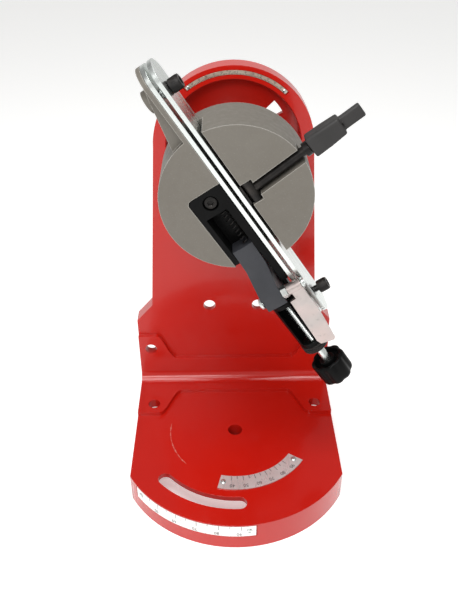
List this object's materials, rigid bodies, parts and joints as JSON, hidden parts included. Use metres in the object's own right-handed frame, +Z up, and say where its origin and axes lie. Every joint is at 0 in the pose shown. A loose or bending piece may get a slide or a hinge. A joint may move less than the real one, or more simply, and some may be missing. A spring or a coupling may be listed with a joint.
{
  "type": "bench grinder",
  "caption": "Cast grinder base with a swivelling chain vise: cam-clamped rails, screw-adjusted chain stop with folding pawl, and tilt and swivel scales.",
  "frame": {"origin": "on the plane the base stands on, on the underside rib in the frame's middle, 40 mm behind the tilt pivot hole", "axes": "+Z up the upright, +Y from the base's round front to the upright, +X to the right seen from the front"},
  "size_m": [0.1892, 0.2186, 0.3654],
  "materials": {
    "red_paint": "gloss",
    "cast_grey": "cast, matt grey",
    "zinc": "bright zinc plate",
    "black_steel": "black oxide",
    "black_plastic": "moulded, satin",
    "grey_plastic": "moulded, satin",
    "grip_plastic": "moulded, matt",
    "pawl_steel": "pressed, dull",
    "scale_plate": "printed, satin",
    "bronze": "sintered"
  },
  "bodies": {
    "frame": {"frame": "red_paint", "base_scale_plate": "scale_plate", "front_scale_plate": "scale_plate", "arch_scale_strip": "scale_plate", "base_scale_rivet_left": "zinc", "base_scale_rivet_right": "zinc", "label_rivet_left": "zinc", "label_rivet_right": "zinc", "arch_scale_rivet_right": "zinc", "arch_scale_rivet_left": "zinc", "swivel_bush": "bronze"},
    "vise": {"vise_body": "cast_grey", "fixed_rail": "zinc", "rail_spring_left": "zinc", "rail_spring_right": "zinc", "cap_screw_left": "black_steel", "cap_screw_right": "black_steel", "rail_nut": "zinc", "stop_housing": "black_plastic", "housing_screw": "black_steel", "return_spring": "black_steel", "screw_tube": "black_plastic", "screw_collar": "black_steel", "pivot_stud": "zinc", "swivel_stop_pin": "zinc"},
    "clamp_lever": {"clamp_lever": "black_steel", "lever_grip": "grip_plastic"},
    "rail_clamp": {"moving_rail": "zinc", "pressure_pad": "black_steel"},
    "chain_stop": {"stop_slider": "grey_plastic", "cross_pin": "zinc", "cross_pin_nut": "zinc", "pawl_ring": "zinc"},
    "pawl": {"pawl": "pawl_steel"},
    "stop_knob": {"stop_knob": "black_plastic", "adjusting_screw": "zinc"},
    "clamp_washer": {"clamp_washer": "zinc"},
    "swivel_lock_knob": {"swivel_lock_knob": "black_plastic"}
  },
  "joints": [
    {"name": "vise_swivel", "type": "hinge", "parent": "frame", "child": "vise", "pos_m": [0, 0.05, 0.2725], "axis": [0, -1, 0], "range_deg": [0, 112]},
    {"name": "clamp_lever_swing", "type": "hinge", "parent": "vise", "child": "clamp_lever", "pos_m": [0.01061, -0.0557, 0.27857], "axis": [0.5524, 0, -0.8336], "range_deg": [0, 75]},
    {"name": "rail_clamp_slide", "type": "slide", "parent": "vise", "child": "rail_clamp", "axis": [-0.8336, 0, -0.5524], "range_m": [0, 0.0011]},
    {"name": "chain_stop_slide", "type": "slide", "parent": "vise", "child": "chain_stop", "axis": [-0.5524, 0, 0.8336], "range_m": [0, 0.00799], "deforming": ["return_spring"]},
    {"name": "pawl_fold", "type": "hinge", "parent": "chain_stop", "child": "pawl", "pos_m": [0.04447, -0.0672, 0.20539], "axis": [-0.8336, 0, -0.5524], "range_deg": [0, 165]},
    {"name": "stop_knob_turn", "type": "hinge", "parent": "chain_stop", "child": "stop_knob", "pos_m": [0.07423, -0.0572, 0.12735], "axis": [-0.5524, 0, 0.8336], "range_deg": [0, 2300]},
    {"name": "lock_washer_slide", "type": "slide", "parent": "vise", "child": "clamp_washer", "axis": [0, 1, 0], "range_m": [0, 0.0015]},
    {"name": "lock_knob_turn", "type": "hinge", "parent": "clamp_washer", "child": "swivel_lock_knob", "pos_m": [0, 0.07, 0.2725], "axis": [0, 1, 0], "range_deg": [0, 360]}
  ],
  "couplings": [
    {"joint": "clamp_lever_swing", "follows": "rail_clamp_slide", "rad_per_m": 1190},
    {"joint": "stop_knob_turn", "follows": "chain_stop_slide", "rad_per_m": 5026.5},
    {"joint": "lock_knob_turn", "follows": "lock_washer_slide", "rad_per_m": 4188.8}
  ]
}
